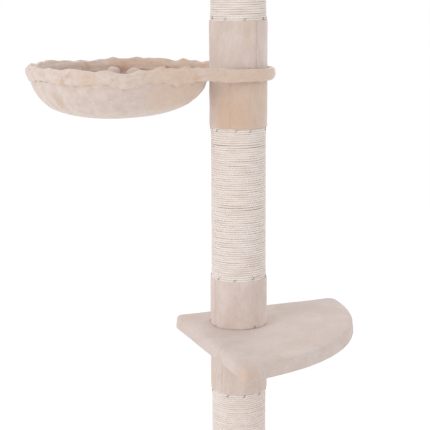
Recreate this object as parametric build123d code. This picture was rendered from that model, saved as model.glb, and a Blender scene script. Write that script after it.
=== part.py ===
from build123d import *

import os
from math import acos, atan2, cos, degrees, pi, radians, sin, sqrt

# Floor-to-ceiling cat tree: five cardboard posts stand end to end on a padded base, a padded
# quarter-round platform and a plush hammock are clamped between them, and a screwed ceiling
# board braces the stack. The origin is on the post's axis at the floor, +Z is up, and the
# hammock hangs towards -X. Millimetres.

# Posts
POST_LENGTH = 466.0
TUBE_OUTSIDE = 92.0
TUBE_WALL = 4.0
ROPE_THICKNESS = 4.0
POST_PLUSH = 6.0
LOWER_COLLAR = 89.0
UPPER_COLLAR = 99.0
WRAP_CLEARANCE = 0.2

# End plugs, thread inserts and threaded studs
PLUG_THICKNESS = 18.0
PLUG_CLEARANCE = 0.2
INSERT_FLANGE = 26.0
INSERT_FLANGE_THICKNESS = 1.6
INSERT_BARREL = 12.0
INSERT_BARREL_WALL_CLEARANCE = 0.15
INSERT_BARREL_LENGTH = 12.0
STUD_DIAMETER = 10.0
THREAD_CLEARANCE = 0.1
STUD_HOLE_CLEARANCE = 0.5

# Base
BASE_SIDE = 500.0
BASE_CORNER = 45.0
BASE_BOARD_THICKNESS = 18.0
BASE_TOP_PADDING = 5.0
BASE_EDGE_PADDING = 5.0
BASE_HEM_THICKNESS = 2.0
BASE_HEM_WIDTH = 60.0
BASE_EDGE_ROUNDING = 4.5
PAD_THICKNESS = 3.0
CORNER_PAD_DIAMETER = 40.0
CORNER_PAD_INSET = 40.0
CENTRE_PAD_DIAMETER = 110.0
BOLT_HEAD_ACROSS_FLATS = 17.0
BOLT_HEAD_HEIGHT = 6.4
BOLT_RECESS_DIAMETER = 32.0
BOLT_RECESS_DEPTH = 9.5
BASE_WASHER_DIAMETER = 28.0
BASE_WASHER_THICKNESS = 2.0

# Platform
PLATFORM_RADIUS = 337.0
PLATFORM_APEX_TO_POST = 131.0
PLATFORM_HEADING = -22.5
PLATFORM_APEX_ROUNDING = 13.0
PLATFORM_FRONT_ROUNDING = 14.0
PLATFORM_REAR_ROUNDING = 22.0
PLATFORM_BOARD_THICKNESS = 15.0
PLATFORM_TOP_PADDING = 6.0
PLATFORM_UNDER_PADDING = 5.0
PLATFORM_EDGE_PADDING = 6.0
PLATFORM_EDGE_ROUNDING = 8.0

# Hammock: a bent steel rod with a flat cross bar, in a plush sleeve with a hanging bowl
HOOP_ROD = 8.0
HOOP_BAR_THICKNESS = 3.0
HOOP_BAR_WIDTH = 32.0
HOOP_PLATE_DIAMETER = 80.0
LOOP_RADIUS = 148.0
LOOP_TO_POST = 223.5
SLEEVE_WIDTH = 14.0
SLEEVE_HEIGHT = 26.0
SLEEVE_DROP = 4.5
SLEEVE_TO_POST = 0.8
CLOTH_CLEARANCE = 0.3
BOWL_DEPTH = 62.0
BOWL_CLOTH = 4.0
BOWL_END_FROM_POST = 6.0
BOWL_CORNER_SHARPNESS = 9.0
BOWL_FOLDS = 16
BOWL_FOLD_HEIGHT = 3.0
BOWL_LEVELS = (0.0, 0.3, 0.56, 0.78, 0.92, 0.985)

# Ceiling tensioner
SPINDLE_DIAMETER = 16.0
SPINDLE_LENGTH = 225.0
SPINDLE_GUIDE_CLEARANCE = 0.3
TENSION_WASHER_DIAMETER = 60.0
TENSION_WASHER_THICKNESS = 3.0
NUT_ACROSS_FLATS = 24.0
NUT_HEIGHT = 13.0
NUT_TO_SOCKET = 6.0
SOCKET_DIAMETER = 28.0
SOCKET_HEIGHT = 12.0
FLANGE_DIAMETER = 80.0
FLANGE_THICKNESS = 4.0
FLANGE_SCREWS = 4
FLANGE_SCREW_CIRCLE = 60.0
SCREW_SHANK = 4.0
SCREW_HEAD_DIAMETER = 8.0
SCREW_HEAD_HEIGHT = 2.4
SCREW_LENGTH = 15.0
SCREW_CLEARANCE = 0.2
CEILING_BOARD_DIAMETER = 210.0
CEILING_BOARD_THICKNESS = 15.0
CEILING_PADDING = 4.0
CEILING_EDGE_ROUNDING = 3.0
CEILING_PAD_THICKNESS = 3.0

# Fits and stations that follow from the sizes above
TUBE_BORE = TUBE_OUTSIDE - 2 * TUBE_WALL
COLLAR_DIAMETER = TUBE_OUTSIDE + 2 * POST_PLUSH
ROPE_DIAMETER_OVER_WRAP = TUBE_OUTSIDE + 2 * ROPE_THICKNESS
WRAP_BORE = TUBE_OUTSIDE + 2 * WRAP_CLEARANCE
STUD_HOLE = STUD_DIAMETER + 2 * STUD_HOLE_CLEARANCE
INSERT_HOLE = INSERT_BARREL + 2 * INSERT_BARREL_WALL_CLEARANCE
STUD_REACH = PLUG_THICKNESS + INSERT_FLANGE_THICKNESS
SPINDLE_GUIDE = SPINDLE_DIAMETER + 2 * SPINDLE_GUIDE_CLEARANCE

BASE_UNDERSIDE = PAD_THICKNESS + BASE_HEM_THICKNESS
BASE_BOARD_TOP = BASE_UNDERSIDE + BASE_BOARD_THICKNESS
BASE_TOP = BASE_BOARD_TOP + BASE_TOP_PADDING
PLATFORM_BOTTOM = BASE_TOP + POST_LENGTH
PLATFORM_THICKNESS = PLATFORM_UNDER_PADDING + PLATFORM_BOARD_THICKNESS + PLATFORM_TOP_PADDING
PLATFORM_TOP = PLATFORM_BOTTOM + PLATFORM_THICKNESS
BAR_BOTTOM = PLATFORM_TOP + POST_LENGTH
BAR_TOP = BAR_BOTTOM + HOOP_BAR_THICKNESS
POST_BOTTOMS = (
    BASE_TOP,
    PLATFORM_TOP,
    BAR_TOP,
    BAR_TOP + POST_LENGTH,
    BAR_TOP + 2 * POST_LENGTH,
)
STACK_TOP = POST_BOTTOMS[-1] + POST_LENGTH

HOOP_LEVEL = BAR_BOTTOM + HOOP_BAR_THICKNESS / 2
SLEEVE_LEVEL = HOOP_LEVEL - SLEEVE_DROP
BOWL_RIM = SLEEVE_LEVEL - SLEEVE_HEIGHT / 2 - CLOTH_CLEARANCE
POST_LOOP_RADIUS = COLLAR_DIAMETER / 2 + SLEEVE_TO_POST + SLEEVE_WIDTH / 2
TANGENT_ANGLE = degrees(acos((LOOP_RADIUS - POST_LOOP_RADIUS) / LOOP_TO_POST))
TANGENT_LENGTH = sqrt(LOOP_TO_POST**2 - (LOOP_RADIUS - POST_LOOP_RADIUS) ** 2)

NUT_BOTTOM = STACK_TOP + TENSION_WASHER_THICKNESS
SOCKET_BOTTOM = NUT_BOTTOM + NUT_HEIGHT + NUT_TO_SOCKET
FLANGE_TOP = SOCKET_BOTTOM + SOCKET_HEIGHT + FLANGE_THICKNESS
CEILING_BOARD_BOTTOM = FLANGE_TOP + CEILING_PADDING
CEILING_BOARD_TOP = CEILING_BOARD_BOTTOM + CEILING_BOARD_THICKNESS


def rod(diameter, bottom, height):
    """Round bar standing on the axis of the post."""
    return Pos(0, 0, bottom) * extrude(Circle(diameter / 2), height)


def sleeve(outside, bore, bottom, height):
    """Tube standing on the axis of the post."""
    ring = Circle(outside / 2) - Circle(bore / 2)
    return Pos(0, 0, bottom) * extrude(ring, height)


def hexagon(across_flats, bottom, height):
    """Hexagonal prism standing on the axis of the post."""
    outline = RegularPolygon(across_flats / 2, 6, major_radius=False)
    return Pos(0, 0, bottom) * extrude(outline, height)


# Posts


def tube(bottom):
    """Cardboard tube of one post."""
    return sleeve(TUBE_OUTSIDE, TUBE_BORE, bottom, POST_LENGTH)


def plug(bottom, hole):
    """Wooden disc that closes a tube's end and carries its thread."""
    return sleeve(TUBE_BORE - 2 * PLUG_CLEARANCE, hole, bottom, PLUG_THICKNESS)


def lower_plug(bottom):
    """Plug flush with the lower end of a post."""
    return plug(bottom, INSERT_HOLE)


def upper_plug(bottom, hole):
    """Plug flush with the upper end of a post."""
    return plug(bottom + POST_LENGTH - PLUG_THICKNESS, hole)


def insert(seat, direction):
    """Thread insert: its flange bears on a plug's inner face and its barrel enters the plug."""
    bore = STUD_DIAMETER + 2 * THREAD_CLEARANCE
    flange_bottom = seat if direction > 0 else seat - INSERT_FLANGE_THICKNESS
    barrel_bottom = seat - INSERT_BARREL_LENGTH if direction > 0 else seat
    flange = sleeve(INSERT_FLANGE, bore, flange_bottom, INSERT_FLANGE_THICKNESS)
    return flange + sleeve(INSERT_BARREL, bore, barrel_bottom, INSERT_BARREL_LENGTH)


def lower_insert(bottom):
    """Insert above the lower plug of a post."""
    return insert(bottom + PLUG_THICKNESS, 1)


def upper_insert(bottom):
    """Insert below the upper plug of a post."""
    return insert(bottom + POST_LENGTH - PLUG_THICKNESS, -1)


def lower_collar(bottom):
    """Plush band round the foot of a post."""
    return sleeve(COLLAR_DIAMETER, WRAP_BORE, bottom, LOWER_COLLAR)


def rope_wrap(bottom):
    """Sisal rope wound between the two plush bands, as one sleeve."""
    height = POST_LENGTH - LOWER_COLLAR - UPPER_COLLAR
    return sleeve(ROPE_DIAMETER_OVER_WRAP, WRAP_BORE, bottom + LOWER_COLLAR, height)


def upper_collar(bottom):
    """Plush band round the head of a post."""
    start = bottom + POST_LENGTH - UPPER_COLLAR
    return sleeve(COLLAR_DIAMETER, WRAP_BORE, start, UPPER_COLLAR)


def stud(lower_face, upper_face):
    """Threaded stud that draws two posts together on what lies between them."""
    return rod(STUD_DIAMETER, lower_face - STUD_REACH, upper_face - lower_face + 2 * STUD_REACH)


def post(number, bottom):
    """Every piece of one post, by node name; the last has the spindle's guide at its top."""
    name = f"post_{number}"
    is_last = number == len(POST_BOTTOMS)
    inserts = [lower_insert(bottom)]
    if not is_last:
        inserts.append(upper_insert(bottom))
    return {
        f"{name}_tube": tube(bottom),
        f"{name}_lower_plug": lower_plug(bottom),
        f"{name}_upper_plug": upper_plug(bottom, SPINDLE_GUIDE if is_last else INSERT_HOLE),
        f"{name}_thread_inserts": Compound(children=inserts),
        f"{name}_lower_collar": lower_collar(bottom),
        f"{name}_rope_wrap": rope_wrap(bottom),
        f"{name}_upper_collar": upper_collar(bottom),
    }


# Base


def base_board():
    """Rounded square board with a recess below for the bolt's head and washer."""
    side = BASE_SIDE - 2 * BASE_EDGE_PADDING
    outline = RectangleRounded(side, side, BASE_CORNER - BASE_EDGE_PADDING)
    board = Pos(0, 0, BASE_UNDERSIDE) * extrude(outline, BASE_BOARD_THICKNESS)
    recess = rod(BOLT_RECESS_DIAMETER, BASE_UNDERSIDE, BOLT_RECESS_DEPTH)
    return board - recess - rod(STUD_HOLE, BASE_UNDERSIDE, BASE_BOARD_THICKNESS)


def base_cover():
    """Plush over the board's top and edges, turned in below as a hem."""
    height = BASE_TOP - PAD_THICKNESS
    skin = extrude(RectangleRounded(BASE_SIDE, BASE_SIDE, BASE_CORNER), height)
    skin = fillet(skin.edges().group_by(Axis.Z)[-1], BASE_EDGE_ROUNDING)
    inner = BASE_SIDE - 2 * BASE_EDGE_PADDING
    core = extrude(RectangleRounded(inner, inner, BASE_CORNER - BASE_EDGE_PADDING), BASE_BOARD_THICKNESS)
    window = BASE_SIDE - 2 * BASE_HEM_WIDTH
    opening = extrude(Rectangle(window, window), BASE_HEM_THICKNESS)
    cover = skin - Pos(0, 0, BASE_HEM_THICKNESS) * core - opening
    return Pos(0, 0, PAD_THICKNESS) * cover - rod(STUD_HOLE, 0, BASE_TOP)


def base_pads():
    """Rubber pads: one on the hem at each corner, and one that fills the middle under the bolt."""
    reach = BASE_SIDE / 2 - CORNER_PAD_INSET
    corner = extrude(Circle(CORNER_PAD_DIAMETER / 2), PAD_THICKNESS)
    pads = [Pos(x, y, 0) * corner for x in (-reach, reach) for y in (-reach, reach)]
    pads.append(rod(CENTRE_PAD_DIAMETER, 0, BASE_UNDERSIDE))
    return Compound(children=pads)


def base_washer():
    """Washer at the top of the board's recess."""
    bottom = BASE_UNDERSIDE + BOLT_RECESS_DEPTH - BASE_WASHER_THICKNESS
    return sleeve(BASE_WASHER_DIAMETER, STUD_HOLE, bottom, BASE_WASHER_THICKNESS)


def base_bolt():
    """Hexagon bolt from below the board into the first post."""
    seat = BASE_UNDERSIDE + BOLT_RECESS_DEPTH - BASE_WASHER_THICKNESS
    head = hexagon(BOLT_HEAD_ACROSS_FLATS, seat - BOLT_HEAD_HEIGHT, BOLT_HEAD_HEIGHT)
    return head + rod(STUD_DIAMETER, seat, BASE_TOP + STUD_REACH - seat)


# Platform


def quarter_round(inset):
    """Outline of the platform, set in from its padded edge."""
    corner, rear, front = (0, 0), (0, PLATFORM_RADIUS), (PLATFORM_RADIUS, 0)
    bulge = PLATFORM_RADIUS * cos(radians(45))
    arc = ThreePointArc(front, (bulge, bulge), rear)
    outline = make_face([arc, Line(rear, corner), Line(corner, front)])
    roundings = (
        (corner, PLATFORM_APEX_ROUNDING),
        (rear, PLATFORM_REAR_ROUNDING),
        (front, PLATFORM_FRONT_ROUNDING),
    )
    for point, radius in roundings:
        nearest = outline.vertices().sort_by_distance((*point, 0))[0]
        outline = fillet(nearest, radius)
    if inset > 0:
        outline = offset(outline, -inset, kind=Kind.ARC)
    behind_post = radians(PLATFORM_HEADING + 180)
    apex = Pos(PLATFORM_APEX_TO_POST * cos(behind_post), PLATFORM_APEX_TO_POST * sin(behind_post))
    return apex * Rot(0, 0, PLATFORM_HEADING - 45) * outline


def platform_board():
    """Quarter-round board."""
    bottom = PLATFORM_BOTTOM + PLATFORM_UNDER_PADDING
    board = Pos(0, 0, bottom) * extrude(quarter_round(PLATFORM_EDGE_PADDING), PLATFORM_BOARD_THICKNESS)
    return board - rod(STUD_HOLE, bottom, PLATFORM_BOARD_THICKNESS)


def platform_cover():
    """Padded plush that wraps the board all round, with a soft rounded edge."""
    skin = Pos(0, 0, PLATFORM_BOTTOM) * extrude(quarter_round(0), PLATFORM_THICKNESS)
    skin = fillet(skin.edges().filter_by(Plane.XY), PLATFORM_EDGE_ROUNDING)
    bottom = PLATFORM_BOTTOM + PLATFORM_UNDER_PADDING
    core = Pos(0, 0, bottom) * extrude(quarter_round(PLATFORM_EDGE_PADDING), PLATFORM_BOARD_THICKNESS)
    return skin - core - rod(STUD_HOLE, PLATFORM_BOTTOM, PLATFORM_THICKNESS)


# Hammock


def section_plane(centre_x, radius, angle, level):
    """Plane across the hoop's line: x points out of the loop and y points up."""
    outward = Vector(cos(radians(angle)), sin(radians(angle)), 0)
    along = Vector(sin(radians(angle)), -cos(radians(angle)), 0)
    origin = Vector(centre_x, 0, level) + outward * radius
    return Plane(origin=origin, x_dir=outward, z_dir=along)


def along_hoop(section, level):
    """Carry a section round the hoop: a wide loop, two straight runs and a loop round the post."""
    far = section_plane(-LOOP_TO_POST, LOOP_RADIUS, TANGENT_ANGLE, level)
    near = section_plane(0, POST_LOOP_RADIUS, -TANGENT_ANGLE, level)
    wide = revolve(far * section, Axis((-LOOP_TO_POST, 0, 0), (0, 0, 1)), 360 - 2 * TANGENT_ANGLE)
    small = revolve(near * section, Axis((0, 0, 0), (0, 0, 1)), 2 * TANGENT_ANGLE)
    runs = [extrude(plane * section, TANGENT_LENGTH) for plane in (far, near)]
    return wide + runs[0] + small + runs[1]


def hoop_outline():
    """Area inside the hoop's line."""
    loops = Pos(-LOOP_TO_POST, 0) * Circle(LOOP_RADIUS) + Circle(POST_LOOP_RADIUS)
    return make_hull(loops.edges())


def hoop_bar(margin):
    """Flat bar across the post's loop, welded to the rod at both ends, with a plate in the middle."""
    across = Rectangle(HOOP_BAR_WIDTH + 2 * margin, 4 * POST_LOOP_RADIUS)
    outline = hoop_outline() & across
    outline += Circle(HOOP_PLATE_DIAMETER / 2)
    thickness = HOOP_BAR_THICKNESS + 2 * margin
    return Pos(0, 0, BAR_BOTTOM - margin) * extrude(outline, thickness)


def hoop_frame():
    """Welded steel frame: the bent rod with the bar that the posts clamp."""
    ring = along_hoop(Circle(HOOP_ROD / 2), HOOP_LEVEL)
    return ring + hoop_bar(0) - rod(STUD_HOLE, BAR_BOTTOM, HOOP_BAR_THICKNESS)


def hoop_sleeve():
    """Plush tunnel that hangs on the rod, slit inside for the bar."""
    tunnel = Ellipse(SLEEVE_WIDTH / 2, SLEEVE_HEIGHT / 2)
    tunnel -= Pos(0, SLEEVE_DROP) * Circle(HOOP_ROD / 2 + CLOTH_CLEARANCE)
    return along_hoop(tunnel, SLEEVE_LEVEL) - hoop_bar(CLOTH_CLEARANCE)


def bowl_centre():
    """Middle of the bowl along X."""
    end = -(COLLAR_DIAMETER / 2 + BOWL_END_FROM_POST)
    return (end - LOOP_TO_POST - LOOP_RADIUS) / 2


def hoop_reach(angle):
    """Distance from the bowl's middle to the hoop's line: the wide loop or a straight run."""
    middle = bowl_centre()
    turn = radians(TANGENT_ANGLE)
    touch_x = LOOP_RADIUS * cos(turn) - LOOP_TO_POST - middle
    touch_angle = atan2(LOOP_RADIUS * sin(turn), touch_x)
    if angle > touch_angle:
        shift = middle + LOOP_TO_POST
        along = -shift * cos(angle)
        return along + sqrt(along**2 + LOOP_RADIUS**2 - shift**2)
    slope = cos(turn) * cos(angle) + sin(turn) * sin(angle)
    return (POST_LOOP_RADIUS - cos(turn) * middle) / slope


def bowl_radius(angle):
    """Reach of the bowl's rim: under the hoop's line, with a rounded end in front of the post."""
    to_end = -(COLLAR_DIAMETER / 2 + BOWL_END_FROM_POST) - bowl_centre()
    around = acos(cos(angle))
    end = max(0.0, cos(angle) / to_end)
    power = BOWL_CORNER_SHARPNESS
    return (hoop_reach(around) ** -power + end**power) ** (-1 / power)


def bowl_section(level, cloth, depth):
    """Level line of the bowl's cloth, gathered into folds that fade towards the bottom."""
    shrink = sqrt(1 - level**2)
    fade = BOWL_FOLD_HEIGHT * (1 - level) ** 2
    steps = BOWL_FOLDS * 4
    points = []
    for step in range(steps):
        angle = 2 * pi * step / steps
        reach = (bowl_radius(angle) - cloth - BOWL_FOLD_HEIGHT) * shrink
        reach += fade * cos(BOWL_FOLDS * angle)
        points.append((bowl_centre() + reach * cos(angle), reach * sin(angle), 0))
    line = Spline(*points, periodic=True)
    return Pos(0, 0, BOWL_RIM - level * depth) * make_face(line)


def hammock_bowl():
    """Plush bowl that hangs from the sleeve's seam."""
    outside = loft([bowl_section(level, 0, BOWL_DEPTH) for level in BOWL_LEVELS])
    inner_depth = BOWL_DEPTH - BOWL_CLOTH
    inside = loft([bowl_section(level, BOWL_CLOTH, inner_depth) for level in BOWL_LEVELS])
    return outside - inside


# Ceiling tensioner


def tension_washer():
    """Washer on the head of the last post."""
    return sleeve(TENSION_WASHER_DIAMETER, SPINDLE_GUIDE, STACK_TOP, TENSION_WASHER_THICKNESS)


def tension_nut():
    """Hexagon nut that screws the spindle up."""
    nut = hexagon(NUT_ACROSS_FLATS, NUT_BOTTOM, NUT_HEIGHT)
    return nut - rod(SPINDLE_DIAMETER + 2 * THREAD_CLEARANCE, NUT_BOTTOM, NUT_HEIGHT)


def tension_spindle():
    """Threaded spindle that hangs in the last post from the ceiling flange."""
    return rod(SPINDLE_DIAMETER, FLANGE_TOP - SPINDLE_LENGTH, SPINDLE_LENGTH)


def flange_screw_places():
    """Places of the flange's screws on their circle."""
    return PolarLocations(FLANGE_SCREW_CIRCLE / 2, FLANGE_SCREWS, start_angle=45)


def ceiling_flange():
    """Steel flange with a threaded socket for the spindle."""
    plate_bottom = FLANGE_TOP - FLANGE_THICKNESS
    plate = rod(FLANGE_DIAMETER, plate_bottom, FLANGE_THICKNESS)
    flange = plate + rod(SOCKET_DIAMETER, SOCKET_BOTTOM, SOCKET_HEIGHT)
    flange -= rod(SPINDLE_DIAMETER + 2 * THREAD_CLEARANCE, SOCKET_BOTTOM, FLANGE_TOP - SOCKET_BOTTOM)
    hole = extrude(Circle(SCREW_SHANK / 2 + SCREW_CLEARANCE), FLANGE_THICKNESS)
    for place in flange_screw_places():
        flange -= Pos(0, 0, plate_bottom) * place * hole
    return flange


def ceiling_screws():
    """Screws that hold the flange to the ceiling board."""
    head = extrude(Circle(SCREW_HEAD_DIAMETER / 2), SCREW_HEAD_HEIGHT)
    screw = head + Pos(0, 0, SCREW_HEAD_HEIGHT) * extrude(Circle(SCREW_SHANK / 2), SCREW_LENGTH)
    bottom = FLANGE_TOP - FLANGE_THICKNESS - SCREW_HEAD_HEIGHT
    return Compound(children=[Pos(0, 0, bottom) * place * screw for place in flange_screw_places()])


def screw_holes(bottom, height):
    """Holes for the flange's screws through the padding and into the board."""
    hole = extrude(Circle(SCREW_SHANK / 2 + SCREW_CLEARANCE), height)
    return Compound(children=[Pos(0, 0, bottom) * place * hole for place in flange_screw_places()])


def ceiling_board():
    """Round board that spreads the load on the ceiling."""
    board = rod(CEILING_BOARD_DIAMETER, CEILING_BOARD_BOTTOM, CEILING_BOARD_THICKNESS)
    depth = SCREW_LENGTH - FLANGE_THICKNESS - CEILING_PADDING + SCREW_CLEARANCE
    return board - screw_holes(CEILING_BOARD_BOTTOM, depth)


def ceiling_cover():
    """Padded plush below and round the ceiling board."""
    outside = CEILING_BOARD_DIAMETER + 2 * CEILING_PADDING
    height = CEILING_PADDING + CEILING_BOARD_THICKNESS
    skin = rod(outside, FLANGE_TOP, height)
    skin = fillet(skin.edges().group_by(Axis.Z)[0], CEILING_EDGE_ROUNDING)
    core = rod(CEILING_BOARD_DIAMETER, CEILING_BOARD_BOTTOM, CEILING_BOARD_THICKNESS)
    return skin - core - screw_holes(FLANGE_TOP, CEILING_PADDING)


def ceiling_pad():
    """Rubber disc that grips the ceiling."""
    outside = CEILING_BOARD_DIAMETER + 2 * CEILING_PADDING
    return rod(outside, CEILING_BOARD_TOP, CEILING_PAD_THICKNESS)


def cat_tree():
    """Every node of the tree by name."""
    nodes = {
        "base_board": base_board(),
        "base_cover": base_cover(),
        "base_pads": base_pads(),
        "base_washer": base_washer(),
        "base_bolt": base_bolt(),
        "platform_board": platform_board(),
        "platform_cover": platform_cover(),
        "hoop_frame": hoop_frame(),
        "hoop_sleeve": hoop_sleeve(),
        "hammock_bowl": hammock_bowl(),
        "tension_washer": tension_washer(),
        "tension_nut": tension_nut(),
        "tension_spindle": tension_spindle(),
        "ceiling_flange": ceiling_flange(),
        "ceiling_screws": ceiling_screws(),
        "ceiling_board": ceiling_board(),
        "ceiling_cover": ceiling_cover(),
        "ceiling_pad": ceiling_pad(),
    }
    for index, bottom in enumerate(POST_BOTTOMS):
        nodes.update(post(index + 1, bottom))
    nodes["platform_stud"] = stud(PLATFORM_BOTTOM, PLATFORM_TOP)
    nodes["hammock_stud"] = stud(BAR_BOTTOM, BAR_TOP)
    nodes["post_4_stud"] = stud(POST_BOTTOMS[3], POST_BOTTOMS[3])
    nodes["post_5_stud"] = stud(POST_BOTTOMS[4], POST_BOTTOMS[4])
    return nodes


os.makedirs("parts", exist_ok=True)
for node, solid in cat_tree().items():
    export_step(solid, f"parts/{node}.step")
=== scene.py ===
import logging
import math
from collections.abc import Callable, Sequence
from dataclasses import dataclass, field
from enum import Enum

import bmesh
import bpy
from bmesh.types import BMesh, BMVert
from bpy.types import Material, Mesh, Node, NodeSocket, NodeTree, Object
from mathutils import Matrix, Vector, noise


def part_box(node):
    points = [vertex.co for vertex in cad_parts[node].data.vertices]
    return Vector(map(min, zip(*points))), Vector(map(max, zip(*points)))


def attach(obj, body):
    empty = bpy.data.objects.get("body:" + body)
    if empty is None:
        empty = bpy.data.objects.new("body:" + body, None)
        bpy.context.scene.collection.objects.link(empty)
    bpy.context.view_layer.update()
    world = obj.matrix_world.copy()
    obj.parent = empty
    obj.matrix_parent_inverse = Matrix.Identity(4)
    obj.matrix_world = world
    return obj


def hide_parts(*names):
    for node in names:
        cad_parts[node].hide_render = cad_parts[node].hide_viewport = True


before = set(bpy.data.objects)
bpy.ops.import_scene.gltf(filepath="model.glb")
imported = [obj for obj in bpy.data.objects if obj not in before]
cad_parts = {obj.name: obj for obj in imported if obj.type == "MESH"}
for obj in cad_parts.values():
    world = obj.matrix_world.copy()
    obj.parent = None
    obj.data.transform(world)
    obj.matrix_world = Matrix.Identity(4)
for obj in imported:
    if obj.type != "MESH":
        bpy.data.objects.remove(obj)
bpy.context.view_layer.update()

LOG = logging.getLogger("cat_tree")
TURN = 2 * math.pi
UP = Vector((0, 0, 1))


class Slot(Enum):
    """The record's material slots."""

    PLUSH = "plush"
    SISAL = "sisal"
    CARDBOARD = "cardboard"
    BOARD = "board"
    PLUG_WOOD = "plug_wood"
    STEEL = "steel"
    RUBBER = "grip_rubber"


class Body(Enum):
    """The bodies that pieces ride on."""

    STAND = "stand"
    PLATFORM = "platform"
    HAMMOCK = "hammock"
    TENSIONER = "tensioner"
    NUT = "tension_nut"


# Node trees


def srgb(red: float, green: float, blue: float) -> tuple[float, float, float, float]:
    """Turn a written colour into the linear colour that sockets take.

    Args:
        red: Red, 0 to 255.
        green: Green, 0 to 255.
        blue: Blue, 0 to 255.

    Returns:
        Linear red, green, blue and an alpha of 1.
    """
    line = []
    for value in (red, green, blue):
        share = value / 255
        line.append(share / 12.92 if share <= 0.04045 else ((share + 0.055) / 1.055) ** 2.4)
    return (line[0], line[1], line[2], 1.0)


class Graph:
    """A node tree with short calls that add and link its nodes."""

    def __init__(self, tree: NodeTree) -> None:
        """Keep the tree that nodes are added to."""
        self.tree = tree

    def add(self, kind: str, inputs: dict | None = None, **settings: object) -> Node:
        """Add one node.

        Args:
            kind: Type of the node.
            inputs: Values or sockets by the input's name or number.
            **settings: Settings of the node by name.

        Returns:
            The new node.
        """
        node = self.tree.nodes.new(kind)
        for name, value in settings.items():
            setattr(node, name, value)
        for key, value in (inputs or {}).items():
            if isinstance(value, NodeSocket):
                self.tree.links.new(value, node.inputs[key])
            else:
                node.inputs[key].default_value = value
        return node

    def math(self, operation: str, *values: object) -> NodeSocket:
        """Put values or sockets through one Math node and return its output."""
        return self.add("ShaderNodeMath", dict(enumerate(values)), operation=operation).outputs[0]

    def noise(self, vector: NodeSocket, size: object, detail: float = 2.0, rough: float = 0.5) -> NodeSocket:
        """Sample noise whose lumps have a size in metres.

        Args:
            vector: Where the noise is sampled.
            size: Size of a lump, a number or a socket.
            detail: Finer layers added.
            rough: Strength of the finer layers.

        Returns:
            Value socket from 0 to 1.
        """
        scale = self.math("DIVIDE", 1.0, size) if isinstance(size, NodeSocket) else 1.0 / size
        inputs = {"Vector": vector, "Scale": scale, "Detail": detail, "Roughness": rough}
        return self.add("ShaderNodeTexNoise", inputs).outputs["Fac"]

    def ease(self, value: NodeSocket, low: float, high: float) -> NodeSocket:
        """Turn a value into a soft mask that is 0 below low and 1 above high."""
        inputs = {"Value": value, "From Min": low, "From Max": high}
        return self.add("ShaderNodeMapRange", inputs, interpolation_type="SMOOTHSTEP").outputs[0]

    def blend(self, share: object, first: object, second: object) -> NodeSocket:
        """Mix two colours by a share and return the colour socket."""
        node = self.add("ShaderNodeMix", {0: share, 6: first, 7: second}, data_type="RGBA")
        return node.outputs[2]

    def stretch(self, vector: NodeSocket, scale: Sequence[float]) -> NodeSocket:
        """Scale a pattern's coordinates along each axis."""
        return self.add("ShaderNodeMapping", {"Vector": vector, "Scale": scale}).outputs[0]


Ports = dict[str, NodeSocket]


def effect_group(
    name: str, inputs: dict[str, float | None], outputs: Sequence[str], fill: Callable[[Graph, Ports], Ports]
) -> NodeTree:
    """Build a shared surface effect once, or find it.

    Args:
        name: Name of the node group.
        inputs: Numbers by input name, None for a vector.
        outputs: Names of the value outputs.
        fill: Adds the group's nodes and returns the sockets for the outputs.

    Returns:
        The shader node group.
    """
    if name in bpy.data.node_groups:
        return bpy.data.node_groups[name]
    tree = bpy.data.node_groups.new(name, "ShaderNodeTree")
    for key, value in inputs.items():
        kind = "NodeSocketVector" if value is None else "NodeSocketFloat"
        socket = tree.interface.new_socket(key, in_out="INPUT", socket_type=kind)
        if value is not None:
            socket.default_value = value
    for key in outputs:
        tree.interface.new_socket(key, in_out="OUTPUT", socket_type="NodeSocketFloat")
    graph = Graph(tree)
    given = graph.add("NodeGroupInput")
    made = fill(graph, {key: given.outputs[key] for key in inputs})
    graph.add("NodeGroupOutput", made)
    return tree


def pile_effect() -> NodeTree:
    """Short plush pile: tufts, brushed drifts and crushed patches.

    Returns:
        Group with the outputs Height, Tuft, Clump, Drift and Crush.
    """

    def fill(graph: Graph, given: Ports) -> Ports:
        """Add the pile's nodes."""
        place = given["Vector"]
        tuft = graph.noise(place, given["Tuft"], 3.0, 0.6)
        clump = graph.noise(place, graph.math("MULTIPLY", given["Tuft"], 4.0), 2.0, 0.55)
        drift = graph.ease(graph.noise(place, given["Drift"], 3.0, 0.6), 0.36, 0.66)
        wide = graph.math("MULTIPLY", given["Drift"], 1.7)
        shifted = graph.add("ShaderNodeMapping", {"Vector": place, "Location": (3.1, 1.7, 5.3)}).outputs[0]
        crush = graph.ease(graph.noise(shifted, wide, 2.5, 0.62), 0.55, 0.72)
        raised = graph.math("MULTIPLY_ADD", clump, 1.6, tuft)
        height = graph.math("MULTIPLY_ADD", drift, 0.5, raised)
        return {"Height": height, "Tuft": tuft, "Clump": clump, "Drift": drift, "Crush": crush}

    return effect_group(
        "short_pile",
        {"Vector": None, "Tuft": 0.0012, "Drift": 0.03},
        ("Height", "Tuft", "Clump", "Drift", "Crush"),
        fill,
    )


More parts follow.
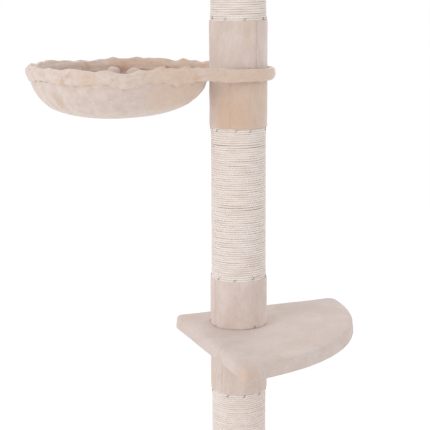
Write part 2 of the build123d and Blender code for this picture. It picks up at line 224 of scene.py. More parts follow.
def lay_effect() -> NodeTree:
    """Lay of a three-strand rope on its own run and girth.

    Returns:
        Group with the outputs Height, Groove, Fibre and Patch.
    """

    def fill(graph: Graph, given: Ports) -> Ports:
        """Add the rope's nodes."""
        place = graph.add("ShaderNodeSeparateXYZ", {"Vector": given["Vector"]})
        run, girth = place.outputs[0], place.outputs[1]
        turns = graph.math("DIVIDE", run, given["Lay"])
        phase = graph.math("MULTIPLY", graph.math("ADD", turns, girth), 3.0)
        share = graph.math("FRACT", phase)
        ridge = graph.math("SINE", graph.math("MULTIPLY", share, math.pi))
        groove = graph.math("SUBTRACT", 1.0, graph.ease(ridge, 0.0, 0.55))
        strands = graph.add("ShaderNodeCombineXYZ", {0: graph.math("MULTIPLY", run, 160.0), 1: phase})
        hair = graph.stretch(strands.outputs[0], (1.0, 9.0, 1.0))
        fibre = graph.noise(hair, 1.0, 3.0, 0.65)
        patch = graph.noise(graph.stretch(given["Vector"], (1.0, 0.004, 1.0)), 0.05, 3.0, 0.6)
        height = graph.math("MULTIPLY_ADD", fibre, 0.35, ridge)
        return {"Height": height, "Groove": groove, "Fibre": fibre, "Patch": patch}

    return effect_group(
        "rope_lay", {"Vector": None, "Lay": 0.014}, ("Height", "Groove", "Fibre", "Patch"), fill
    )


def grain_effect() -> NodeTree:
    """Streaks and specks of paper, fibre or wood.

    Returns:
        Group with the outputs Height, Streak and Speck.
    """

    def fill(graph: Graph, given: Ports) -> Ports:
        """Add the grain's nodes."""
        along = graph.noise(graph.stretch(given["Vector"], (1.0, 1.0, 0.12)), given["Grain"], 4.0, 0.6)
        speck = graph.noise(given["Vector"], graph.math("MULTIPLY", given["Grain"], 0.3), 3.0, 0.7)
        streak = graph.ease(along, 0.35, 0.7)
        height = graph.math("MULTIPLY_ADD", speck, 0.5, along)
        return {"Height": height, "Streak": streak, "Speck": speck}

    return effect_group(
        "fibre_grain", {"Vector": None, "Grain": 0.006}, ("Height", "Streak", "Speck"), fill
    )


def handling_effect() -> NodeTree:
    """Dull smears and fine scratches that handling leaves on metal and rubber.

    Returns:
        Group with the outputs Height, Smear and Scratch.
    """

    def fill(graph: Graph, given: Ports) -> Ports:
        """Add the handling marks' nodes."""
        smear = graph.ease(graph.noise(given["Vector"], given["Size"], 3.0, 0.55), 0.35, 0.7)
        drawn = graph.stretch(given["Vector"], (1.0, 1.0, 14.0))
        scratch = graph.ease(graph.noise(drawn, graph.math("MULTIPLY", given["Size"], 0.4), 4.0, 0.7), 0.6, 0.75)
        return {"Height": scratch, "Smear": smear, "Scratch": scratch}

    return effect_group(
        "handling_marks", {"Vector": None, "Size": 0.01}, ("Height", "Smear", "Scratch"), fill
    )


# Finishes


@dataclass(frozen=True)
class Finish:
    """A surface finish. Each kind fills in its own nodes."""

    name: str
    slot: Slot

    def material(self) -> Material:
        """Build the finish's material once, or find it.

        Returns:
            The material.
        """
        if self.name in bpy.data.materials:
            return bpy.data.materials[self.name]
        made = bpy.data.materials.new(self.name)
        made.use_nodes = True
        made.node_tree.nodes.clear()
        graph = Graph(made.node_tree)
        shader = graph.add("ShaderNodeBsdfPrincipled")
        graph.add("ShaderNodeOutputMaterial", {"Surface": shader.outputs[0]})
        self.fill(graph, shader)
        return made

    def fill(self, graph: Graph, shader: Node) -> None:
        """Add the finish's own nodes to its material."""
        raise NotImplementedError

    def bump(self, graph: Graph, shader: Node, height: NodeSocket, strength: float, depth: float) -> None:
        """Feed a height to the shader's normal.

        Args:
            graph: The material's nodes.
            shader: The Principled shader.
            height: Height from 0 to about 1.
            strength: Strength of the bump.
            depth: Depth of the height in metres.
        """
        inputs = {"Strength": strength, "Distance": depth, "Height": height}
        node = graph.add("ShaderNodeBump", inputs)
        graph.tree.links.new(node.outputs[0], shader.inputs["Normal"])

    def dress(self, piece: Object) -> None:
        """Give the finish to every face of a piece."""
        piece.data.materials.clear()
        piece.data.materials.append(self.material())


@dataclass(frozen=True)
class Plush(Finish):
    """Short-pile plush, brushed this way and that."""

    light: tuple[float, float, float] = (223, 208, 201)
    mid: tuple[float, float, float] = (215, 197, 188)
    crushed: tuple[float, float, float] = (209, 180, 157)
    # Warmer, darker colour that the listed spots are tinted towards.
    spot_colour: tuple[float, float, float] = (216, 186, 162)
    spots: tuple[tuple[float, float, float, float], ...] = ()
    tuft: float = 0.0013
    drift: float = 0.022
    crush_share: float = 0.55
    upright: float = 1.0
    bloom: float = 0.9

    def fill(self, graph: Graph, shader: Node) -> None:
        """Mottle the colour by drifts, crushed patches and listed spots, paint shade into the pile's hollows and
        raise the tufts.
        """
        place = graph.add("ShaderNodeTexCoord").outputs["Object"]
        pile = graph.add("ShaderNodeGroup", node_tree=pile_effect())
        brushed_way = graph.stretch(place, (1.0, 1.0, self.upright))
        graph.tree.links.new(brushed_way, pile.inputs["Vector"])
        pile.inputs["Tuft"].default_value = self.tuft
        pile.inputs["Drift"].default_value = self.drift
        brushed = graph.blend(pile.outputs["Drift"], srgb(*self.mid), srgb(*self.light))
        share = graph.math("MULTIPLY", pile.outputs["Crush"], self.crush_share)
        patched = graph.blend(share, brushed, srgb(*self.crushed))
        # Tint the colour towards a warmer, darker colour round each listed spot, with a ragged edge from the drifts.
        for *centre, reach in self.spots:
            gap = graph.add("ShaderNodeVectorMath", operation="DISTANCE")
            graph.tree.links.new(place, gap.inputs[0])
            gap.inputs[1].default_value = centre
            ragged = graph.math("MULTIPLY", pile.outputs["Drift"], reach * 0.8)
            nearness = graph.ease(graph.math("SUBTRACT", gap.outputs["Value"], ragged), reach, reach * 0.2)
            patched = graph.blend(graph.math("MULTIPLY", nearness, 0.55), patched, srgb(*self.spot_colour))
        # Painted shade: where the clump and tuft noise of the bump is low, the pile's hollows are darkened towards a
        # deeper crushed colour.
        deep = srgb(*(value * 0.72 for value in self.crushed))
        hollow_shade = graph.math("MULTIPLY", graph.ease(pile.outputs["Clump"], 0.55, 0.34), 0.08)
        parted = graph.blend(hollow_shade, patched, deep)
        shade = graph.math("MULTIPLY", graph.ease(pile.outputs["Tuft"], 0.62, 0.32), 0.09)
        tufted = graph.blend(shade, parted, deep)
        graph.tree.links.new(tufted, shader.inputs["Base Color"])
        self.bump(graph, shader, pile.outputs["Height"], 0.42, 0.001)
        shader.inputs["Roughness"].default_value = 0.95
        shader.inputs["Specular IOR Level"].default_value = 0.1
        shader.inputs["Sheen Weight"].default_value = self.bloom
        shader.inputs["Sheen Roughness"].default_value = 0.6
        shader.inputs["Sheen Tint"].default_value = srgb(255, 246, 238)


@dataclass(frozen=True)
class Sisal(Finish):
    """Pale three-strand sisal rope, which reads its lay from the rope's UV map."""

    pale: tuple[float, float, float] = (249, 243, 240)
    straw: tuple[float, float, float] = (239, 225, 215)
    # Colour of the painted shade in the grooves between the strands.
    shade: tuple[float, float, float] = (182, 159, 142)
    lay: float = 0.0125

    def fill(self, graph: Graph, shader: Node) -> None:
        """Colour the strands, paint shade into the grooves between them and raise the fibres."""
        place = graph.add("ShaderNodeUVMap", uv_map="lay").outputs[0]
        rope = graph.add("ShaderNodeGroup", {}, node_tree=lay_effect())
        graph.tree.links.new(place, rope.inputs["Vector"])
        rope.inputs["Lay"].default_value = self.lay
        tone = graph.ease(rope.outputs["Patch"], 0.35, 0.7)
        strand = graph.blend(tone, srgb(*self.pale), srgb(*self.straw))
        hair = graph.math("MULTIPLY", graph.ease(rope.outputs["Fibre"], 0.6, 0.3), 0.35)
        strand = graph.blend(hair, strand, srgb(*self.straw))
        # Painted shade: the grooves between the strands are darkened towards the shade colour.
        deep = graph.math("MULTIPLY", rope.outputs["Groove"], 0.5)
        graph.tree.links.new(graph.blend(deep, strand, srgb(*self.shade)), shader.inputs["Base Color"])
        self.bump(graph, shader, rope.outputs["Height"], 0.7, 0.0006)
        shader.inputs["Roughness"].default_value = 0.78
        shader.inputs["Specular IOR Level"].default_value = 0.25


@dataclass(frozen=True)
class Fibrous(Finish):
    """Cardboard, fibreboard or plug wood."""

    base: tuple[float, float, float]
    streak: tuple[float, float, float]
    grain: float = 0.006
    rough: float = 0.8

    def fill(self, graph: Graph, shader: Node) -> None:
        """Streak the colour along the grain and roughen it."""
        place = graph.add("ShaderNodeTexCoord").outputs["Object"]
        marks = graph.add("ShaderNodeGroup", {}, node_tree=grain_effect())
        graph.tree.links.new(place, marks.inputs["Vector"])
        marks.inputs["Grain"].default_value = self.grain
        colour = graph.blend(marks.outputs["Streak"], srgb(*self.base), srgb(*self.streak))
        speck = graph.math("MULTIPLY", graph.ease(marks.outputs["Speck"], 0.55, 0.75), 0.4)
        dark = srgb(*(value * 0.6 for value in self.streak))
        graph.tree.links.new(graph.blend(speck, colour, dark), shader.inputs["Base Color"])
        self.bump(graph, shader, marks.outputs["Height"], 0.3, 0.0004)
        shader.inputs["Roughness"].default_value = self.rough


@dataclass(frozen=True)
class Handled(Finish):
    """Zinc-plated steel or grip rubber with the marks of handling."""

    clean: tuple[float, float, float]
    dull: tuple[float, float, float]
    metal: float = 1.0
    smooth: float = 0.28
    worn: float = 0.5
    marks: float = 0.01

    def fill(self, graph: Graph, shader: Node) -> None:
        """Vary the colour and roughness by smears and scratches."""
        place = graph.add("ShaderNodeTexCoord").outputs["Object"]
        marks = graph.add("ShaderNodeGroup", {}, node_tree=handling_effect())
        graph.tree.links.new(place, marks.inputs["Vector"])
        marks.inputs["Size"].default_value = self.marks
        colour = graph.blend(marks.outputs["Smear"], srgb(*self.clean), srgb(*self.dull))
        graph.tree.links.new(colour, shader.inputs["Base Color"])
        span = graph.math("MULTIPLY_ADD", marks.outputs["Smear"], self.worn - self.smooth, self.smooth)
        graph.tree.links.new(span, shader.inputs["Roughness"])
        self.bump(graph, shader, marks.outputs["Height"], 0.25, 0.0001)
        shader.inputs["Metallic"].default_value = self.metal


POST_PLUSH = Plush("plush_post", Slot.PLUSH, crush_share=0.4, upright=0.4)
SPOTTED_POST_PLUSH = Plush(
    "plush_post_rubbed", Slot.PLUSH, mid=(213, 192, 180), spot_colour=(209, 178, 152), crush_share=0.5, upright=0.5,
    spots=((0.014, -0.050, 0.925, 0.062), (-0.012, -0.051, 0.905, 0.030)),
)
PAD_PLUSH = Plush(
    "plush_pad", Slot.PLUSH, light=(221, 207, 202), mid=(214, 198, 191), drift=0.045, crush_share=0.25, bloom=0.3,
    spots=((0.002, -0.262, 0.505, 0.030), (0.155, -0.205, 0.515, 0.012), (0.105, -0.232, 0.515, 0.010)),
)
TUNNEL_PLUSH = Plush(
    "plush_tunnel", Slot.PLUSH, light=(226, 211, 203), mid=(219, 200, 189), drift=0.012, crush_share=0.8,
    spots=(
        (-0.110, -0.110, 0.985, 0.050), (-0.250, -0.148, 0.980, 0.016), (-0.010, -0.074, 0.983, 0.055),
        (0.052, -0.050, 0.990, 0.036), (-0.150, 0.130, 0.990, 0.050), (-0.075, 0.092, 0.990, 0.040),
        (-0.215, 0.142, 0.992, 0.028),
    ),
)
BOWL_PLUSH = Plush(
    "plush_bowl", Slot.PLUSH, drift=0.016, crush_share=0.6,
    spots=((-0.112, -0.108, 0.953, 0.042), (-0.078, -0.076, 0.960, 0.032)),
)
ROPE = Sisal("sisal_rope", Slot.SISAL)
CARDBOARD = Fibrous("cardboard_tube", Slot.CARDBOARD, (176, 142, 104), (158, 124, 88), grain=0.01)
FIBREBOARD = Fibrous("fibreboard", Slot.BOARD, (172, 134, 92), (150, 112, 74), grain=0.003)
PLUG_WOOD = Fibrous("plug_wood", Slot.PLUG_WOOD, (206, 172, 128), (184, 146, 100), grain=0.008, rough=0.65)
ZINC = Handled("zinc_steel", Slot.STEEL, (196, 198, 200), (164, 166, 170))
STAPLE_STEEL = Handled("staple_steel", Slot.STEEL, (150, 148, 146), (112, 108, 104), marks=0.002)
GRIP = Handled("grip_rubber", Slot.RUBBER, (62, 60, 58), (84, 82, 79), metal=0.0, smooth=0.6, worn=0.8)


# Meshes


def new_piece(name: str, bm: BMesh, smooth: bool = True) -> Object:
    """Turn a bmesh into a linked object with clean, outward faces.

    Args:
        name: Name of the piece.
        bm: Its mesh, freed here.
        smooth: Whether its faces are shaded smooth.

    Returns:
        The piece, at the origin, with its place in its mesh.
    """
    bmesh.ops.remove_doubles(bm, verts=bm.verts, dist=1e-6)
    bmesh.ops.recalc_face_normals(bm, faces=bm.faces)
    mesh = bpy.data.meshes.new(name)
    for face in bm.faces:
        face.smooth = smooth
    bm.to_mesh(mesh)
    bm.free()
    piece = bpy.data.objects.new(name, mesh)
    bpy.context.scene.collection.objects.link(piece)
    return piece


def bake(piece: Object) -> None:
    """Put the result of a piece's modifiers in its mesh and remove them."""
    seen = piece.evaluated_get(bpy.context.evaluated_depsgraph_get())
    old = piece.data
    piece.data = bpy.data.meshes.new_from_object(seen)
    piece.modifiers.clear()
    piece.data.name = old.name
    bpy.data.meshes.remove(old)


def refine(piece: Object, levels: int = 1) -> None:
    """Add one live subdivision, the same in the view and the render."""
    finer = piece.modifiers.new("finer", "SUBSURF")
    finer.levels = finer.render_levels = levels


def move_points(piece: Object, move: Callable[[Vector], Vector]) -> None:
    """Move each point of a piece's mesh.

    Args:
        piece: The piece.
        move: New place of a point by its old place.
    """
    for point in piece.data.vertices:
        point.co = move(point.co.copy())
    piece.data.update()


def bell(distance: float, width: float) -> float:
    """Soft bump that is 1 at no distance and fades over a width."""
    return math.exp(-((distance / width) ** 2))


def angle_gap(first: float, second: float) -> float:
    """Smallest difference between two angles."""
    return abs((first - second + math.pi) % TURN - math.pi)


@dataclass(frozen=True)
class ClothRun:
    """One run of the cloth simulation, with its result kept near the start."""

    frames: int = 20
    pressure: float = 4.0
    gravity: float = 0.0
    growth: float = 0.0
    cap: float = 0.004
    bending: float = 0.5

    def settle(self, piece: Object, held: Callable[[Vector], float] | None = None) -> None:
        """Simulate a piece and keep the capped result in its mesh.

        Args:
            piece: The piece, as one mesh with no modifiers.
            held: Share from 0 to 1 by which a point is pinned.
        """
        scene = bpy.context.scene
        start = [point.co.copy() for point in piece.data.vertices]
        cloth = piece.modifiers.new("settle", "CLOTH")
        rules = cloth.settings
        rules.use_pressure = self.pressure > 0
        rules.uniform_pressure_force = self.pressure
        rules.effector_weights.gravity = self.gravity
        rules.shrink_min = -self.growth
        rules.bending_stiffness = self.bending
        cloth.collision_settings.use_collision = False
        cloth.point_cache.frame_start = 1
        cloth.point_cache.frame_end = self.frames
        if held:
            group = piece.vertex_groups.new(name="held")
            for index, place in enumerate(start):
                share = held(place)
                if share > 0:
                    group.add([index], share, "REPLACE")
            rules.vertex_group_mass = "held"
        for number in range(1, self.frames + 1):
            scene.frame_set(number)
        seen = piece.evaluated_get(bpy.context.evaluated_depsgraph_get())
        found = [point.co.copy() for point in seen.data.vertices]
        piece.modifiers.remove(cloth)
        piece.vertex_groups.clear()
        for point, old, new in zip(piece.data.vertices, start, found):
            shift = new - old
            if shift.length > self.cap:
                shift *= self.cap / shift.length
            point.co = old + shift
        piece.data.update()
        scene.frame_set(1)


def place_piece(piece: Object, body: Body, finish: Finish, *nodes: str) -> Object:
    """Dress a piece, let it ride on its body and stand for its CAD nodes.

    Args:
        piece: The finished piece.
        body: The body it rides on.
        finish: Its finish.
        *nodes: CAD nodes that it replaces.

    Returns:
        The piece.
    """
    finish.dress(piece)
    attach(piece, body.value)
    if nodes:
        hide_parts(*nodes)
    count = sum(len(face.vertices) - 2 for face in piece.data.polygons)
    LOG.info("%s on %s, %d triangles before its modifiers", piece.name, body.value, count)
    return piece


def dress_node(node: str, finish: Finish) -> None:
    """Give a finish to a CAD node that stays as it is."""
    finish.dress(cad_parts[node])
    LOG.info("%s keeps its CAD shape, finish %s", node, finish.name)


# Posts


@dataclass
class RopeWrap:
    """Sisal rope wound round a tube between two collars."""

    number: int
    thickness: float = 0.0040
    sides: int = 8
    steps: int = 40
    loose: float = 0.00035
    end_swell: float = 0.0007
    gaps: dict[int, float] = field(default_factory=dict)

    def turn(self, pitch: float, radius: float, start: float) -> Object:
        """Spin one rope section through one rising turn.

        Args:
            pitch: Rise of the turn.
            radius: Radius of the winding.
            start: Height of the section's middle.

        Returns:
            One open turn, with the layer "girth" round the rope.
        """
        bm = bmesh.new()
        girth = bm.verts.layers.float.new("girth")
        ring = bmesh.ops.create_circle(bm, segments=self.sides, radius=self.swell())
        bmesh.ops.rotate(bm, verts=bm.verts, cent=(0, 0, 0), matrix=Matrix.Rotation(math.pi / 2, 3, "X"))
        for vert in ring["verts"]:
            vert[girth] = (math.atan2(vert.co.z, vert.co.x) / TURN) % 1.0
        bmesh.ops.translate(bm, verts=bm.verts, vec=(radius, 0, start))
        bmesh.ops.spin(
            bm, geom=bm.verts[:] + bm.edges[:], cent=(0, 0, 0), axis=(0, 0, 1), dvec=(0, 0, pitch / self.steps),
            angle=TURN, steps=self.steps, use_merge=False, use_normal_flip=False, use_duplicate=False,
        )
        return new_piece(f"post_{self.number}_rope", bm)

    def swell(self) -> float:
        """Radius of the rope, pressed a little into its neighbours."""
        return self.thickness / 2 * 1.04

    def build(self) -> Object:
        """Repeat one turn up the tube, from under one collar to under the other.

        Returns:
            The wound rope with the UV map "lay", run by girth.
        """
        low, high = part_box(f"post_{self.number}_rope_wrap")
        radius = high.x - self.thickness / 2
        turns = round((high.z - low.z) / self.thickness + 1.0)
        pitch = (high.z - low.z + self.thickness) / turns
        start = low.z - self.thickness / 2
        piece = self.turn(pitch, radius, start)
        coil = piece.modifiers.new("coil", "ARRAY")
        coil.count = turns
        coil.use_relative_offset = False
        coil.use_constant_offset = True
        coil.constant_offset_displace = (0, 0, pitch)
        coil.use_merge_vertices = True
        coil.merge_threshold = 1e-5
        bake(piece)
        bm = bmesh.new()
        bm.from_mesh(piece.data)
        girth = bm.verts.layers.float["girth"]
        bmesh.ops.holes_fill(bm, edges=[edge for edge in bm.edges if edge.is_boundary], sides=self.sides)
        self.lay_out(bm, girth, radius, start, pitch)
        self.loosen(bm, girth, start, pitch, turns)
        bm.to_mesh(piece.data)
        bm.free()
        return piece

    def lay_out(self, bm: BMesh, girth: object, radius: float, start: float, pitch: float) -> None:
        """Write the run along the rope and the place round it to the UV map.

        Args:
            bm: The wound rope.
            girth: Layer with each point's place round the rope.
            radius: Radius of the winding.
            start: Height of the first section's middle.
            pitch: Rise of one turn.
        """
        sheet = bm.loops.layers.uv.new("lay")
        for face in bm.faces:
            shares = [loop.vert[girth] for loop in face.loops]
            wraps = max(shares) - min(shares) > 0.5
            for loop, share in zip(face.loops, shares):
                level = loop.vert.co.z - self.swell() * math.sin(share * TURN)
                run = (level - start) / pitch * TURN * radius
                around = share + 1.0 if wraps and share < 0.5 else share
                loop[sheet].uv = (run, around)

    def loosen(self, bm: BMesh, girth: object, start: float, pitch: float, turns: int) -> None:
        """Let turns lie a little unevenly, swell at the ends and open at the gaps.

        Args:
            bm: The wound rope.
            girth: Layer with each point's place round the rope.
            start: Height of the first section's middle.
            pitch: Rise of one turn.
            turns: Number of turns.
        """
        for vert in bm.verts:
            turn = (vert.co.z - self.swell() * math.sin(vert[girth] * TURN) - start) / pitch
            angle = math.atan2(vert.co.y, vert.co.x)
            place = Vector((math.cos(angle) * 1.3, math.sin(angle) * 1.3, turn * 0.9 + self.number * 50))
            proud = noise.noise(place) * self.loose
            sway = noise.noise(place + Vector((9, 9, 0))) * self.loose * 1.1
            ends = bell(turn - 2.0, 2.2) + bell(turns - turn - 2.0, 2.2)
            proud += self.end_swell * min(1.0, ends) * (0.5 + 0.5 * noise.noise(place * 0.7))
            for gap, width in self.gaps.items():
                side = (turn - gap) / 1.2
                sway += width * math.tanh(side) * bell((turn - gap) / 3, 1.0) * (0.4 + 0.6 * math.cos(angle + 1.3))
            fade = max(0.0, min(1.0, (turn - 1) / 2, (turns - turn - 1) / 2))
            out = Vector((math.cos(angle), math.sin(angle), 0))
            vert.co += out * proud + UP * sway * fade


@dataclass
class PlushCollar:
    """Plush sleeve glued round one end of a post, with its upright seam."""

    number: int
    end: str
    seam: float
    columns: int = 160
    rows: int = 26
    rounding: float = 0.0015

    def build(self) -> Object:
        """Spin the sleeve's profile and press its seam in.

        Returns:
            The plush sleeve.
        """
        low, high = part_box(f"post_{self.number}_{self.end}_collar")
        outer, inner = high.x + 0.0001, high.x - 0.0055
        bm = bmesh.new()
        corners = [(inner, low.z), (outer, low.z), (outer, high.z), (inner, high.z)]
        verts = [bm.verts.new((radius, 0, level)) for radius, level in corners]
        edges = [bm.edges.new((verts[i], verts[(i + 1) % 4])) for i in range(4)]
        bmesh.ops.subdivide_edges(bm, edges=[edges[1]], cuts=self.rows)
        bmesh.ops.spin(
            bm, geom=bm.verts[:] + bm.edges[:], cent=(0, 0, 0), axis=(0, 0, 1), dvec=(0, 0, 0),
            angle=TURN, steps=self.columns, use_merge=True, use_normal_flip=False, use_duplicate=False,
        )
        bmesh.ops.remove_doubles(bm, verts=bm.verts, dist=1e-6)
        rims = [edge for edge in bm.edges if self.is_rim(edge, outer, low.z, high.z)]
        bmesh.ops.bevel(
            bm, geom=rims, offset=self.rounding, segments=3, profile=0.5, affect="EDGES", material=-1,
        )
        for vert in bm.verts:
            self.press(vert, inner, low.z, high.z)
        return new_piece(f"post_{self.number}_{self.end}_plush", bm)

    @staticmethod
    def is_rim(edge: object, outer: float, low: float, high: float) -> bool:
        """Whether an edge lies on the sleeve's outer top or bottom circle."""
        ends = edge.verts
        flat = abs(ends[0].co.z - ends[1].co.z) < 1e-6
        level = min(abs(ends[0].co.z - low), abs(ends[0].co.z - high)) < 1e-6
        return flat and level and all(abs(vert.co.xy.length - outer) < 1e-5 for vert in ends)

    def press(self, vert: BMVert, inner: float, low: float, high: float) -> None:
        """Move one point of the sleeve: the seam's groove, soft waves and roughened edges.

        Args:
            vert: The point.
            inner: Radius of the bore.
            low: Lower end.
            high: Upper end.
        """
        radius = vert.co.xy.length
        if radius < inner + 0.001:
            return
        angle = math.atan2(vert.co.y, vert.co.x)
        out = Vector((vert.co.x, vert.co.y, 0)) / radius
        gap = angle_gap(angle, self.seam) * radius
        place = vert.co * 38 + Vector((0, 0, self.number * 3.7))
        shift = noise.noise(place) * 0.0005 + noise.noise(place * 3.1) * 0.00025
        shift += 0.0005 * bell(gap - 0.0035, 0.0025) - 0.0016 * bell(gap, 0.0017)
        wave = noise.noise(Vector((angle * 6, low * 40, self.number))) * 0.0006
        edge = min(vert.co.z - low, high - vert.co.z)
        vert.co += out * min(shift, 0.0004)
        if edge < 0.004:
            inward = 1.0 if vert.co.z < (low + high) / 2 else -1.0
            vert.co.z += inward * max(0.0, wave + 0.0003)


@dataclass
class Staples:
    """Wire staples that hold the rope's first and last turns."""

    number: int
    crown: float = 0.0058
    wire: float = 0.0005
    per_end: int = 9
    slant: float = 0.85
    at_foot: int = 3
    first: tuple[float, float, float] = (0.095, 0.011, -1.204)

    def staple(self, bm: BMesh) -> list[BMVert]:
        """Carry a wire section along one leg, the crown and the other leg.

        Args:
            bm: Mesh that takes the staple.

        Returns:
            The staple's points, its crown along X at the origin and its legs to -Y.
        """
        known = set(bm.verts)
        bend, leg = 0.0009, 0.0016
        ring = bmesh.ops.create_circle(bm, segments=5, radius=self.wire)
        bmesh.ops.rotate(bm, verts=ring["verts"], cent=(0, 0, 0), matrix=Matrix.Rotation(math.pi / 2, 3, "X"))
        bmesh.ops.translate(bm, verts=ring["verts"], vec=(-self.crown / 2, -leg - bend, 0))
        edges = list({edge for vert in ring["verts"] for edge in vert.link_edges})
        edges = self.run(bm, edges, (0, leg, 0))
        edges = self.turn(bm, edges, (-self.crown / 2 + bend, -bend, 0))
        edges = self.run(bm, edges, (self.crown - 2 * bend, 0, 0))
        edges = self.turn(bm, edges, (self.crown / 2 - bend, -bend, 0))
        self.run(bm, edges, (0, -leg, 0))
        return [vert for vert in bm.verts if vert not in known]

    @staticmethod
    def run(bm: BMesh, edges: list, vec: Sequence[float]) -> list:
        """Extrude a ring of edges straight and return the new ring."""
        made = bmesh.ops.extrude_edge_only(bm, edges=edges)["geom"]
        bmesh.ops.translate(bm, verts=[e for e in made if isinstance(e, BMVert)], vec=vec)
        return [e for e in made if isinstance(e, bmesh.types.BMEdge)]

    @staticmethod
    def turn(bm: BMesh, edges: list, centre: Sequence[float]) -> list:
        """Spin a ring of edges through a quarter turn and return the new ring."""
        made = bmesh.ops.spin(
            bm, geom=edges + list({v for e in edges for v in e.verts}), cent=centre, axis=(0, 0, -1),
            dvec=(0, 0, 0), angle=math.pi / 2, steps=2, use_merge=False, use_normal_flip=False, use_duplicate=False,
        )
        return [e for e in made["geom_last"] if isinstance(e, bmesh.types.BMEdge)]

    def build(self) -> Object:
        """Set the staples round both ends of the rope.

        Returns:
            All staples of one post as one piece.
        """
        low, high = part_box(f"post_{self.number}_rope_wrap")
        foot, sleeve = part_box(f"post_{self.number}_lower_collar")
        rows = (
            (low.z + 0.0034, high.x + 0.0006, self.per_end), (high.z - 0.0034, high.x + 0.0006, self.per_end),
            (foot.z + 0.0042, sleeve.x + 0.0006, self.at_foot),
        )
        bm = bmesh.new()
        for end, (level, reach, count) in enumerate(rows):
            for index in range(count):
                key = Vector((index * 1.7, end * 5.1, self.number * 2.3))
                angle = TURN * (index + 0.35 * noise.noise(key)) / count + self.first[end] + 0.324 * (3 - self.number)
                tilt = self.slant + 0.35 * noise.noise(key * 1.9)
                rise = 0.0022 * noise.noise(key * 2.7)
                verts = self.staple(bm)
                bmesh.ops.rotate(bm, verts=verts, cent=(0, 0, 0), matrix=Matrix.Rotation(tilt, 3, "Y"))
                bmesh.ops.translate(bm, verts=verts, vec=(0, reach, level + rise))
                spin = Matrix.Rotation(angle - math.pi / 2, 3, "Z")
                bmesh.ops.rotate(bm, verts=verts, cent=(0, 0, 0), matrix=spin)
        return new_piece(f"post_{self.number}_staples", bm)


@dataclass
class Post:
    """One post: cardboard tube and plugs, two plush sleeves and the rope between them."""

    number: int
    lower_seam: float = -1.72
    upper_seam: float = -1.20
    upper_finish: Plush = POST_PLUSH
    gaps: dict[int, float] = field(default_factory=dict)

    def build(self) -> None:
        """Build the post's pieces, then dress them and the nodes that stay."""
        name = f"post_{self.number}"
        rope = RopeWrap(self.number, gaps=self.gaps).build()
        place_piece(rope, Body.STAND, ROPE, f"{name}_rope_wrap")
        ends = (("lower", self.lower_seam, POST_PLUSH), ("upper", self.upper_seam, self.upper_finish))
        for end, seam, finish in ends:
            collar = PlushCollar(self.number, end, seam).build()
            place_piece(collar, Body.STAND, finish, f"{name}_{end}_collar")
        place_piece(Staples(self.number).build(), Body.STAND, STAPLE_STEEL)
        self.dress()

    def dress(self) -> None:
        """Finish the nodes that keep their CAD shape."""
        name = f"post_{self.number}"
        dress_node(f"{name}_tube", CARDBOARD)
        dress_node(f"{name}_lower_plug", PLUG_WOOD)
        dress_node(f"{name}_upper_plug", PLUG_WOOD)
        dress_node(f"{name}_thread_inserts", ZINC)


# Padded boards


@dataclass
class PaddedBoard:
    """A board in padding and plush: a slab with soft edges, puffed by the cloth simulation."""

    name: str
    node: str
    body: Body
    rounding: float
    voxel: float = 0.005
    run: ClothRun = ClothRun(cap=0.002)
    pressed: float = 0.056
    press_fade: float = 0.02

    def outline(self, bm: BMesh) -> None:
        """Draw the flat outline as one face at no height."""
        raise NotImplementedError

    def build(self) -> Object:
        """Raise the outline to a slab, soften it, puff it and smooth it.

        Returns:
            The padded piece.
        """
        low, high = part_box(self.node)
        bm = bmesh.new()
        self.outline(bm)
        bmesh.ops.translate(bm, verts=bm.verts, vec=(0, 0, low.z))
        raised = bmesh.ops.extrude_face_region(bm, geom=bm.faces[:])["geom"]
        top = [item for item in raised if isinstance(item, BMVert)]
        bmesh.ops.translate(bm, verts=top, vec=(0, 0, high.z - low.z))
        rims = [edge for edge in bm.edges if abs(edge.verts[0].co.z - edge.verts[1].co.z) < 1e-6]
        bmesh.ops.bevel(
            bm, geom=rims, offset=self.rounding, segments=4, profile=0.5, affect="EDGES", material=-1,
        )
        piece = new_piece(self.name, bm)
        remesh = piece.modifiers.new("even", "REMESH")
        remesh.mode = "VOXEL"
        remesh.voxel_size = self.voxel
        bake(piece)
        start = [point.co.copy() for point in piece.data.vertices]
        self.run.settle(piece)
        for point, old in zip(piece.data.vertices, start):
            point.co = self.keep(old, point.co.copy(), low.z, high.z)
        for face in piece.data.polygons:
            face.use_smooth = True
        refine(piece)
        return piece

    def keep(self, old: Vector, new: Vector, low: float, high: float) -> Vector:
        """Hold a simulated point to what the board and its neighbours allow.

        Args:
            old: Place before the simulation.
            new: Place after it.
            low: Underside of the slab.
            high: Top of the slab; not used.

        Returns:
            The kept place.
        """
        reach = old.xy.length
        share = min(1.0, max(0.0, (reach - self.pressed) / self.press_fade))
        kept = old.lerp(new, share)
        kept.z = max(kept.z, low)
        return kept


@dataclass
class BasePad(PaddedBoard):
    """The base's plush: a rounded square, turned in below as a hem."""

    corner: float = 0.045
    window: float = 0.19
    lift: float = 0.0032

    def outline(self, bm: BMesh) -> None:
        """Draw the square and round its corners."""
        low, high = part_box(self.node)
        bmesh.ops.create_grid(bm, x_segments=1, y_segments=1, size=(high.x - low.x) / 2)
        bmesh.ops.bevel(
            bm, geom=bm.verts[:], offset=self.corner, segments=8, profile=0.5, affect="VERTICES", material=-1,
        )

    def keep(self, old: Vector, new: Vector, low: float, high: float) -> Vector:
        """Keep the underside flat, with the hem's window open to the board."""
        kept = super().keep(old, new, low, high)
        if old.z < low + 0.002:
            inside = max(abs(old.x), abs(old.y)) < self.window
            kept = Vector((old.x, old.y, low + self.lift if inside else low))
        return kept


